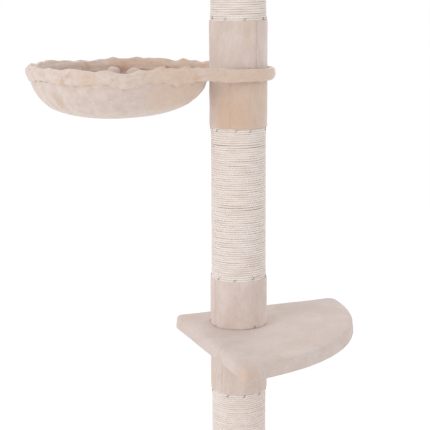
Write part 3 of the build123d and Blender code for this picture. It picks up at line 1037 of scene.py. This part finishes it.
@dataclass
class PlatformPad(PaddedBoard):
    """The platform's plush: a quarter round with three rounded corners."""

    radius: float = 0.337
    apex: Vector = field(default_factory=lambda: Vector((-0.121028, 0.050131, 0)))
    turned: float = math.radians(-67.5)
    corners: tuple[float, float, float] = (0.009, 0.006, 0.019)
    grown: float = 0.0010
    ear: Vector = field(default_factory=lambda: Vector((0.0079, -0.2612, 0)))
    ear_reach: float = 0.0125
    belly: float = 0.0026

    def outline(self, bm: BMesh) -> None:
        """Spin one straight side into the quarter round and round its corners."""
        reach = self.radius + 2 * self.grown
        ends = [bm.verts.new((0, 0, 0)), bm.verts.new((reach, 0, 0))]
        side = bm.edges.new(ends)
        bmesh.ops.spin(
            bm, geom=[*ends, side], cent=(0, 0, 0), axis=(0, 0, 1), dvec=(0, 0, 0),
            angle=math.pi / 2, steps=18, use_merge=False, use_normal_flip=False, use_duplicate=False,
        )
        bmesh.ops.remove_doubles(bm, verts=bm.verts, dist=1e-6)
        bmesh.ops.dissolve_faces(bm, faces=bm.faces[:], use_verts=False)
        places = (Vector((0, 0, 0)), Vector((reach, 0, 0)), Vector((0, reach, 0)))
        for place, offset in zip(places, self.corners):
            nearest = min(bm.verts, key=lambda vert: (vert.co - place).length)
            bmesh.ops.bevel(
                bm, geom=[nearest], offset=offset, segments=6, profile=0.5, affect="VERTICES", material=-1,
            )
        bmesh.ops.translate(bm, verts=bm.verts, vec=(-self.grown, -self.grown, 0))
        bmesh.ops.rotate(bm, verts=bm.verts, cent=(0, 0, 0), matrix=Matrix.Rotation(self.turned, 3, "Z"))
        bmesh.ops.translate(bm, verts=bm.verts, vec=self.apex)


    def keep(self, old: Vector, new: Vector, low: float, high: float) -> Vector:
        """Let the plush stand out into an ear at the front corner."""
        kept = super().keep(old, new, low, high)
        flat = Vector((kept.x, kept.y, 0))
        pull = (self.ear - self.apex).normalized() * 0.5 + Vector((0, -0.5, 0))
        kept += pull * self.ear_reach * bell((flat - self.ear).length, 0.036)
        free = min(1.0, max(0.0, (flat.length - 0.065) / 0.03))
        below = min(1.0, max(0.0, (low + high) / 2 - kept.z) / (high - low) * 2.5) * free
        middle = self.apex + Vector((0.36, -0.15, 0)).normalized() * 0.19
        return kept + (flat - middle).normalized() * self.belly * below - UP * 0.0009 * below


@dataclass
class CeilingPad(PaddedBoard):
    """The ceiling board's plush, pressed flat where the flange sits."""

    def outline(self, bm: BMesh) -> None:
        """Draw the disc."""
        low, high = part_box(self.node)
        bmesh.ops.create_circle(bm, cap_ends=True, segments=72, radius=(high.x - low.x) / 2)

    def keep(self, old: Vector, new: Vector, low: float, high: float) -> Vector:
        """Keep the top under the rubber disc."""
        kept = super().keep(old, new, low, high)
        kept.z = min(kept.z, high - 0.0001)
        return kept


# Hammock


@dataclass
class HoopLine:
    """The hoop's line in plan: a wide loop, a loop round the post and two straight runs."""

    middle: float = -0.2235
    loop: float = 0.148
    post_loop: float = 0.0598
    turn: float = math.radians(66.76)

    @property
    def straight(self) -> float:
        """Length of one straight run."""
        return math.sqrt(self.middle**2 - (self.loop - self.post_loop) ** 2)

    @property
    def length(self) -> float:
        """Length of the whole line."""
        return self.loop * (TURN - 2 * self.turn) + 2 * self.straight + self.post_loop * 2 * self.turn

    def side_at(self, along: float) -> float:
        """Distance of the line from the hammock's middle plane, at a place along X."""
        if along < self.middle + self.loop * math.cos(self.turn):
            return math.sqrt(self.loop**2 - (along - self.middle) ** 2)
        return (self.post_loop - along * math.cos(self.turn)) / math.sin(self.turn)

    def reach(self, angle: float, centre: float) -> float:
        """Distance from a centre on the X axis to the line.

        Args:
            angle: Direction seen from the centre, 0 to pi.
            centre: Place of the centre along X.

        Returns:
            The distance to the wide loop or to a straight run.
        """
        touch_x = self.loop * math.cos(self.turn) + self.middle - centre
        if angle > math.atan2(self.loop * math.sin(self.turn), touch_x):
            shift = centre - self.middle
            along = -shift * math.cos(angle)
            return along + math.sqrt(along**2 + self.loop**2 - shift**2)
        slope = math.cos(self.turn) * math.cos(angle) + math.sin(self.turn) * math.sin(angle)
        return (self.post_loop - math.cos(self.turn) * centre) / slope


@dataclass
class HoopTunnel:
    """Plush tunnel gathered on the hoop's rod."""

    line: HoopLine
    width: float = 0.0130
    height: float = 0.0240
    sides: int = 30
    step: float = 0.0034
    cloth: float = 0.0017
    rod_level: float = 0.9875
    rod_room: float = 0.0063
    crests: tuple[tuple[float, float, float], ...] = ((-0.239, 0.011, 0.30), (-0.200, 0.018, 0.40), (-0.149, 0.016, 0.14))
    knots: tuple[tuple[float, float, float], ...] = ((3.02, 0.85, 0.32), (3.30, 0.1, 0.42), (2.75, 1.2, 0.2))
    dip: tuple[float, float, float] = (-0.190, 0.021, 0.0050)
    run: ClothRun = ClothRun(frames=12, pressure=1.0, growth=0.12, cap=0.0013, bending=0.2)

    def carry(self, bm: BMesh, ring: list, centre: Vector, angle: float, shift: Vector, steps: int) -> list:
        """Spin or push a ring of the tunnel on along the line.

        Args:
            bm: The tunnel's mesh.
            ring: Points and edges of the last section.
            centre: Centre of the turn.
            angle: Angle of the whole turn, 0 on a straight run.
            shift: Whole shift of a straight run.
            steps: Number of sections.

        Returns:
            Points and edges of the new last section.
        """
        made = bmesh.ops.spin(
            bm, geom=ring, cent=centre, axis=(0, 0, 1), dvec=shift / steps,
            angle=angle, steps=steps, use_merge=False, use_normal_flip=False, use_duplicate=False,
        )
        return made["geom_last"]

    def build(self) -> Object:
        """Carry the section once round the hoop, gather it and let it settle.

        Returns:
            The plush tunnel.
        """
        low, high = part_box("hoop_sleeve")
        level = (low.z + high.z) / 2
        line = self.line
        bm = bmesh.new()
        bmesh.ops.create_circle(bm, segments=self.sides, radius=1.0)
        bmesh.ops.scale(bm, verts=bm.verts, vec=(self.width / 2, self.height / 2, 1))
        bmesh.ops.rotate(bm, verts=bm.verts, cent=(0, 0, 0), matrix=Matrix.Rotation(math.pi / 2, 3, "X"))
        bmesh.ops.translate(bm, verts=bm.verts, vec=(line.loop, 0, 0))
        bmesh.ops.rotate(bm, verts=bm.verts, cent=(0, 0, 0), matrix=Matrix.Rotation(line.turn, 3, "Z"))
        bmesh.ops.translate(bm, verts=bm.verts, vec=(line.middle, 0, level))
        ring = bm.verts[:] + bm.edges[:]
        runs = round(line.straight / self.step)
        wide = TURN - 2 * line.turn
        heading = Vector((math.sin(line.turn), math.cos(line.turn), 0)) * line.straight
        still = Vector((0, 0, 0))
        ring = self.carry(bm, ring, Vector((line.middle, 0, 0)), wide, still, round(line.loop * wide / self.step))
        ring = self.carry(bm, ring, still, 0.0, heading, runs)
        around = 2 * line.turn
        ring = self.carry(bm, ring, still, around, still, round(line.post_loop * around / self.step))
        self.carry(bm, ring, still, 0.0, Vector((-heading.x, heading.y, 0)), runs)
        bmesh.ops.remove_doubles(bm, verts=bm.verts, dist=1e-5)
        piece = new_piece("hoop_plush", bm)
        move_points(piece, lambda place: self.gather(place, level))
        self.run.settle(piece)
        move_points(piece, lambda place: self.clear(place, level))
        wall = piece.modifiers.new("cloth", "SOLIDIFY")
        wall.thickness = self.cloth
        wall.offset = -1.0
        refine(piece)
        return piece

    def core(self, place: Vector, level: float) -> tuple[Vector, Vector, float]:
        """Find the hoop's line next to a point.

        Args:
            place: The point.
            level: Height of the tunnel's middle.

        Returns:
            The nearest point of the line, the way out of the hoop, and the angle round the wide loop.
        """
        line = self.line
        flat = Vector((place.x, place.y, 0))
        from_loop = flat - Vector((line.middle, 0, 0))
        angle = math.atan2(from_loop.y, from_loop.x)
        post_angle = math.atan2(flat.y, flat.x)
        if abs(angle) >= line.turn:
            centre, radius, out = Vector((line.middle, 0, 0)), line.loop, from_loop.normalized()
        elif abs(post_angle) <= line.turn and flat.length < 0.09:
            centre, radius, out = Vector((0, 0, 0)), line.post_loop, flat.normalized()
        else:
            side = 1.0 if place.y > 0 else -1.0
            out = Vector((math.cos(line.turn), side * math.sin(line.turn), 0))
            across = flat.dot(out)
            return flat + out * (line.post_loop - across) + UP * level, out, angle
        return centre + out * radius + UP * level, out, angle

    def gather(self, place: Vector, level: float) -> Vector:
        """Swell and pucker the tunnel as the photographed one is gathered.

        Args:
            place: A point of the plain tunnel.
            level: Height of the tunnel's middle.

        Returns:
            The moved point.
        """
        core, out, angle = self.core(place, level)
        arm = place - core
        away = math.atan2(arm.z, arm.dot(out))
        free = 1.0 - 0.7 * bell(max(0.0, place.xy.length - 0.068), 0.03)
        key = Vector((core.x * 17, core.y * 17, away * 2.0))
        fine = Vector((core.x * 62, core.y * 62, away * 1.5 + 5))
        swell = noise.noise(Vector((core.x * 34, core.y * 34, 1.5))) * 0.5
        folds = noise.noise(key) * 0.9 + noise.noise(fine) * 0.8 + swell
        seam = bell(angle_gap(away, -math.pi / 2), 0.5) * noise.noise(Vector((core.x * 120, core.y * 120, 8)))
        flattened = 0.3 * bell(angle_gap(angle, math.pi), 0.3) * bell(angle_gap(away, -1.3), 0.9)
        grown = 1.0 - flattened + (0.42 * folds + 0.25 * seam) * free - 0.08 * bell(max(0.0, core.xy.length - 0.068), 0.02)
        if core.y > 0:
            for middle, width, height in self.crests:
                grown += height * bell(core.x - middle, width) * bell(angle_gap(away, 1.7), 0.8)
        for turned, side, height in self.knots:
            grown += height * bell(angle_gap(angle, turned), 0.11) * bell(angle_gap(away, side), 0.8)
        return core + arm * grown + UP * self.lift(core, angle)

    def lift(self, core: Vector, angle: float) -> float:
        """How far the gathered tunnel rides above its plain place.

        Args:
            core: Nearest point of the hoop's line.
            angle: Angle round the wide loop; not used.

        Returns:
            The rise in metres.
        """
        away = min(1.0, max(0.0, (core.xy.length - 0.066) / 0.03))
        rise = away * (0.0046 if core.y < 0 else 0.0028)
        middle, width, depth = self.dip
        if core.y < 0:
            rise -= depth * bell(core.x - middle, width)
        return rise

    def clear(self, place: Vector, level: float) -> Vector:
        """Keep the tunnel off the post's plush and round the rod."""
        core, out, _ = self.core(place, level)
        rod = Vector((core.x, core.y, self.rod_level))
        arm = place - rod
        if arm.length < self.rod_room:
            place = rod + arm * (self.rod_room / arm.length)
        reach = place.xy.length
        if reach < 0.0533:
            place.xy *= 0.0533 / reach
        return place


@dataclass
class InnerPuffs:
    """Round gathers of the plush that stand into the bowl below the tunnel's back run."""

    line: HoopLine
    puffs: tuple[tuple[float, float, float, float], ...] = (
        (-0.2375, 0.0132, 1.0, 0.9728), (-0.197, 0.0126, 1.2, 0.9705), (-0.146, 0.0126, 1.2, 0.9745),
        (-0.095, 0.0088, 1.3, 0.9800),
    )
    tunnel_half: float = 0.0065

    def build(self) -> Object:
        """Crumple a small ball for each gather and set it against the tunnel.

        Returns:
            The gathers, as one piece.
        """
        bm = bmesh.new()
        for along, radius, wide, level in self.puffs:
            ball = bmesh.ops.create_icosphere(bm, subdivisions=4, radius=radius)["verts"]
            for vert in ball:
                key = vert.co * 95 + Vector((along * 50, 0, 0))
                vert.co *= 1 + 0.16 * noise.noise(key) + 0.07 * noise.noise(key * 2.4)
            bmesh.ops.scale(bm, verts=ball, vec=(wide, 1.0, 0.95))
            inside = self.line.side_at(along) - self.tunnel_half - 0.85 * radius
            bmesh.ops.translate(bm, verts=ball, vec=(along, inside, level))
        return new_piece("hoop_puffs", bm)


@dataclass
class HammockCloth:
    """Plush bowl, gathered on the tunnel's seam and sagging under its own weight."""

    line: HoopLine
    end: float = -0.0547
    depth: float = 0.0692
    fullness: tuple[float, float] = (1.9, 2.4)
    bulge: float = 0.008
    sharp: float = 9.0
    sides: int = 132
    rings: int = 26
    cloth: float = 0.0032
    pleats: tuple[tuple[float, float, float], ...] = ((3.28, 0.05, 0.006), (3.42, 0.045, 0.0055), (3.6, 0.06, 0.0045), (4.05, 0.05, 0.003))
    run: ClothRun = ClothRun(frames=26, pressure=0.0, gravity=0.6, growth=0.07, cap=0.0042, bending=0.25)

    @property
    def centre(self) -> float:
        """Middle of the bowl along X."""
        return (self.end + self.line.middle - self.line.loop) / 2

    def rim(self, angle: float) -> float:
        """Reach of the bowl's rim in one direction, with a rounded end before the post."""
        around = math.acos(max(-1.0, min(1.0, math.cos(angle))))
        end = max(0.0, math.cos(angle) / (self.end - self.centre))
        reach = self.line.reach(around, self.centre) + 0.0038
        return (reach**-self.sharp + end**self.sharp) ** (-1 / self.sharp)

    def build(self) -> Object:
        """Step the rim inwards and down into a bowl, fold it and let it sag.

        Returns:
            The bowl.
        """
        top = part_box("hammock_bowl")[1].z + 0.0080
        bm = bmesh.new()
        share = bm.verts.layers.float.new("share")
        ring = bmesh.ops.create_circle(bm, segments=self.sides, radius=1.0)["verts"]
        edges = bm.edges[:]
        for number in range(1, self.rings):
            made = bmesh.ops.extrude_edge_only(bm, edges=edges)["geom"]
            ring = [item for item in made if isinstance(item, BMVert)]
            edges = [item for item in made if isinstance(item, bmesh.types.BMEdge)]
            for vert in ring:
                vert[share] = number / self.rings
        bmesh.ops.contextual_create(bm, geom=edges)
        bmesh.ops.poke(bm, faces=[face for face in bm.faces if len(face.verts) > 4])
        for vert in bm.verts:
            if len(vert.link_edges) == self.sides:
                vert[share] = 1.0
        for vert in bm.verts:
            vert.co = self.lay(vert.co, vert[share], top)
        piece = new_piece("hammock_cloth", bm)
        self.run.settle(piece, lambda place: 1.0 if place.z > top - 0.0035 else 0.0)
        move_points(piece, self.clear)
        wall = piece.modifiers.new("cloth", "SOLIDIFY")
        wall.thickness = self.cloth
        wall.offset = -1.0
        refine(piece)
        return piece

    @staticmethod
    def clear(place: Vector) -> Vector:
        """Keep the bowl's cloth off the post's plush."""
        reach = place.xy.length
        return place if reach > 0.0538 else Vector((place.x * 0.0538 / reach, place.y * 0.0538 / reach, place.z))

    def lay(self, place: Vector, share: float, top: float) -> Vector:
        """Place a point of the unfolded disc on the bowl.

        Args:
            place: The point on the unit circle.
            share: 0 at the rim and 1 at the bottom.
            top: Height of the rim.

        Returns:
            The point on the gathered bowl.
        """
        angle = math.atan2(place.y, place.x)
        slope = share * math.pi / 2
        to_left = 0.5 - 0.5 * math.cos(angle)
        power = 2 / (self.fullness[0] + (self.fullness[1] - self.fullness[0]) * to_left)
        in_by = max(0.0, math.cos(slope)) ** power if share < 1 else 0.0
        down = math.sin(slope) ** power
        reach = self.rim(angle) * in_by
        fade = (1 - share) ** 1.5
        key = Vector((math.cos(angle) * 4.2, math.sin(angle) * 4.2, share * 0.7))
        fold = noise.noise(key) * 0.0050 * fade + noise.noise(key * 2.6) * 0.0026 * fade
        for turned, width, deep in self.pleats:
            fold -= deep * bell(angle_gap(angle, turned), width) * fade
        reach += self.bulge * bell(angle_gap(angle, 0), 0.3) * bell(share - 0.24, 0.14)
        reach = max(0.0, reach + fold * in_by)
        drop = self.depth * down
        return Vector((self.centre + reach * math.cos(angle), reach * math.sin(angle), top - drop))


@dataclass
class Hammock:
    """The steel hoop in its plush tunnel with the hanging bowl."""

    line: HoopLine = field(default_factory=HoopLine)

    def build(self) -> None:
        """Build the tunnel, the gathers and the bowl, and finish the hoop's frame."""
        tunnel = HoopTunnel(self.line).build()
        place_piece(tunnel, Body.HAMMOCK, TUNNEL_PLUSH, "hoop_sleeve")
        puffs = InnerPuffs(self.line).build()
        place_piece(puffs, Body.HAMMOCK, TUNNEL_PLUSH)
        bowl = HammockCloth(self.line).build()
        place_piece(bowl, Body.HAMMOCK, BOWL_PLUSH, "hammock_bowl")
        dress_node("hoop_frame", ZINC)


# Boards and ceiling fitting


@dataclass
class Base:
    """The padded base board."""

    def build(self) -> None:
        """Build the base's plush and finish its board, pads, bolt and washer."""
        pad = BasePad("base_plush", "base_cover", Body.STAND, rounding=0.0042, voxel=0.006).build()
        place_piece(pad, Body.STAND, PAD_PLUSH, "base_cover")
        dress_node("base_board", FIBREBOARD)
        dress_node("base_pads", GRIP)
        dress_node("base_bolt", ZINC)
        dress_node("base_washer", ZINC)


@dataclass
class Platform:
    """The padded quarter-round platform."""

    def build(self) -> None:
        """Build the platform's plush and finish its board and stud."""
        pad = PlatformPad(
            "platform_plush", "platform_cover", Body.PLATFORM, rounding=0.0055, voxel=0.004,
            run=ClothRun(cap=0.0014),
        ).build()
        place_piece(pad, Body.PLATFORM, PAD_PLUSH, "platform_cover")
        dress_node("platform_board", FIBREBOARD)
        for stud in ("platform_stud", "hammock_stud", "post_4_stud", "post_5_stud"):
            dress_node(stud, ZINC)


@dataclass
class Tensioner:
    """Threaded spindle, nut, flange and padded ceiling board."""

    pitch: float = 0.004
    thread_depth: float = 0.0012

    def thread(self) -> Object:
        """Wind the thread's profile down the spindle by a spin that also sinks.

        Returns:
            The threaded spindle.
        """
        low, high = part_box("tension_spindle")
        crest, root = high.x, high.x - self.thread_depth
        steps_per_turn, turns = 24, (high.z - low.z) / self.pitch - 1
        bm = bmesh.new()
        heights = (0.0, 0.13, 0.42, 0.58, 0.87, 1.0)
        radii = (root, root, crest, crest, root, root)
        verts = [bm.verts.new((radius, 0, low.z + height * self.pitch)) for radius, height in zip(radii, heights)]
        for first, second in zip(verts, verts[1:]):
            bm.edges.new((first, second))
        count = round(turns * steps_per_turn)
        bmesh.ops.spin(
            bm, geom=bm.verts[:] + bm.edges[:], cent=(0, 0, 0), axis=(0, 0, 1),
            dvec=(0, 0, (high.z - low.z - self.pitch) / count), angle=TURN * turns, steps=count,
            use_merge=False, use_normal_flip=False, use_duplicate=False,
        )
        bmesh.ops.remove_doubles(bm, verts=bm.verts, dist=1e-5)
        core = bmesh.ops.create_cone(
            bm, cap_ends=True, segments=24, radius1=root, radius2=root, depth=high.z - low.z,
        )
        bmesh.ops.translate(bm, verts=core["verts"], vec=(0, 0, (low.z + high.z) / 2))
        piece = new_piece("threaded_spindle", bm, smooth=False)
        return piece

    def build(self) -> None:
        """Build the thread and the ceiling pad's plush and finish the fitting."""
        place_piece(self.thread(), Body.TENSIONER, ZINC, "tension_spindle")
        pad = CeilingPad(
            "ceiling_plush", "ceiling_cover", Body.TENSIONER, rounding=0.003, voxel=0.004,
            run=ClothRun(cap=0.0012), pressed=0.042,
        ).build()
        place_piece(pad, Body.TENSIONER, PAD_PLUSH, "ceiling_cover")
        for node in ("tension_washer", "tension_nut", "ceiling_flange", "ceiling_screws"):
            dress_node(node, ZINC)
        dress_node("ceiling_board", FIBREBOARD)
        dress_node("ceiling_pad", GRIP)


# Studio


@dataclass
class Studio:
    """Pale floor, soft lamps and the camera at the photograph's angle."""

    picture: float = 430.0
    focal: float = 1226.2
    sensor: float = 36.0
    place: Vector = field(default_factory=lambda: Vector((0.0, -2.2, 1.1735)))
    tilt: float = 0.18653
    yaw: float = 0.019922
    roll: float = -0.0051867
    lifted: float = 18.69
    aside: float = 0.5

    def camera(self) -> None:
        """Set the camera where the photograph was taken."""
        data = bpy.data.cameras.new("camera")
        data.lens = self.focal / self.picture * self.sensor
        data.sensor_width = self.sensor
        data.shift_x = self.aside / self.picture
        data.shift_y = -self.lifted / self.picture
        camera = bpy.data.objects.new("camera", data)
        ahead = Vector((
            -math.sin(self.yaw) * math.cos(self.tilt), math.cos(self.yaw) * math.cos(self.tilt), -math.sin(self.tilt),
        ))
        right = Vector((math.cos(self.yaw), math.sin(self.yaw), 0))
        above = right.cross(ahead)
        turned_right = math.cos(self.roll) * right + math.sin(self.roll) * above
        turned_up = math.cos(self.roll) * above - math.sin(self.roll) * right
        frame_matrix = Matrix((turned_right, turned_up, -ahead)).transposed().to_4x4()
        camera.matrix_world = Matrix.Translation(self.place) @ frame_matrix
        bpy.context.scene.collection.objects.link(camera)
        bpy.context.scene.camera = camera

    def lamp(self, name: str, place: Sequence[float], aim: Sequence[float], size: Sequence[float], watts: float) -> None:
        """Hang one soft rectangular lamp.

        Args:
            name: Name of the lamp.
            place: Its place.
            aim: Point that it faces.
            size: Width and height of its face.
            watts: Its power.
        """
        data = bpy.data.lights.new(name, "AREA")
        data.shape = "RECTANGLE"
        data.size, data.size_y = size
        data.energy = watts
        lamp = bpy.data.objects.new(name, data)
        lamp.location = place
        lamp.rotation_euler = (Vector(aim) - Vector(place)).to_track_quat("-Z", "Y").to_euler()
        bpy.context.scene.collection.objects.link(lamp)

    def lamps(self) -> None:
        """Hang the key lamp at the left front, a weak one at the right and one behind."""
        self.lamp("key", (-3.3, -2.9, 1.9), (0, 0, 1.1), (2.2, 2.8), 53.0)
        self.lamp("fill", (3.4, -2.2, 1.3), (0, 0, 1.0), (2.4, 2.6), 15.0)
        self.lamp("back", (0.6, 3.4, 2.2), (0, 0, 1.1), (2.6, 2.0), 30.0)

    def seen(self, graph: Graph) -> NodeSocket:
        """1 for rays from the camera, off gloss and through glass, else 0."""
        path = graph.add("ShaderNodeLightPath")
        either = graph.math("MAXIMUM", path.outputs["Is Camera Ray"], path.outputs["Is Glossy Ray"])
        return graph.math("MAXIMUM", either, path.outputs["Is Transmission Ray"])

    def world(self) -> None:
        """White where the camera looks, a soft even light elsewhere."""
        world = bpy.data.worlds.new("studio")
        world.use_nodes = True
        world.node_tree.nodes.clear()
        graph = Graph(world.node_tree)
        level = graph.math("MULTIPLY_ADD", self.seen(graph), 1.0 - 0.78, 0.78)
        shell = graph.add("ShaderNodeBackground", {"Color": (1, 1, 1, 1), "Strength": level})
        graph.add("ShaderNodeOutputWorld", {"Surface": shell.outputs[0]})
        bpy.context.scene.world = world

    def floor(self) -> None:
        """A wide pale floor that shows white and keeps the object's shadow."""
        bm = bmesh.new()
        bmesh.ops.create_circle(bm, cap_ends=True, segments=64, radius=14.0)
        floor = new_piece("studio_floor", bm, smooth=False)
        made = bpy.data.materials.new("studio_floor")
        made.use_nodes = True
        made.node_tree.nodes.clear()
        graph = Graph(made.node_tree)
        matt = graph.add("ShaderNodeBsdfDiffuse", {"Color": srgb(242, 240, 238)})
        glow = graph.add("ShaderNodeEmission", {"Color": (1, 1, 1, 1), "Strength": 1.05})
        share = graph.math("MULTIPLY", self.seen(graph), 0.92)
        mixed = graph.add("ShaderNodeMixShader", {0: share, 1: matt.outputs[0], 2: glow.outputs[0]})
        graph.add("ShaderNodeOutputMaterial", {"Surface": mixed.outputs[0]})
        floor.data.materials.append(made)

    def build(self) -> None:
        """Set up the view, the lamps, the world and the floor."""
        self.camera()
        self.lamps()
        self.world()
        self.floor()
        bpy.context.scene.view_settings.view_transform = "Standard"


def main() -> None:
    """Build every sub-assembly in order and report each piece."""
    logging.basicConfig(level=logging.INFO, format="%(name)s: %(message)s")
    Studio().build()
    Base().build()
    posts = (
        Post(1, -1.1, -2.2), Post(2, -2.5, -1.83, SPOTTED_POST_PLUSH, {34: 0.0006, 62: 0.0008}), Post(3, -0.91, -1.4),
        Post(4, -2.0, -0.8), Post(5, -1.5, -2.4),
    )
    for post in posts:
        post.build()
    Platform().build()
    Hammock().build()
    Tensioner().build()


if __name__ == "__main__":
    main()
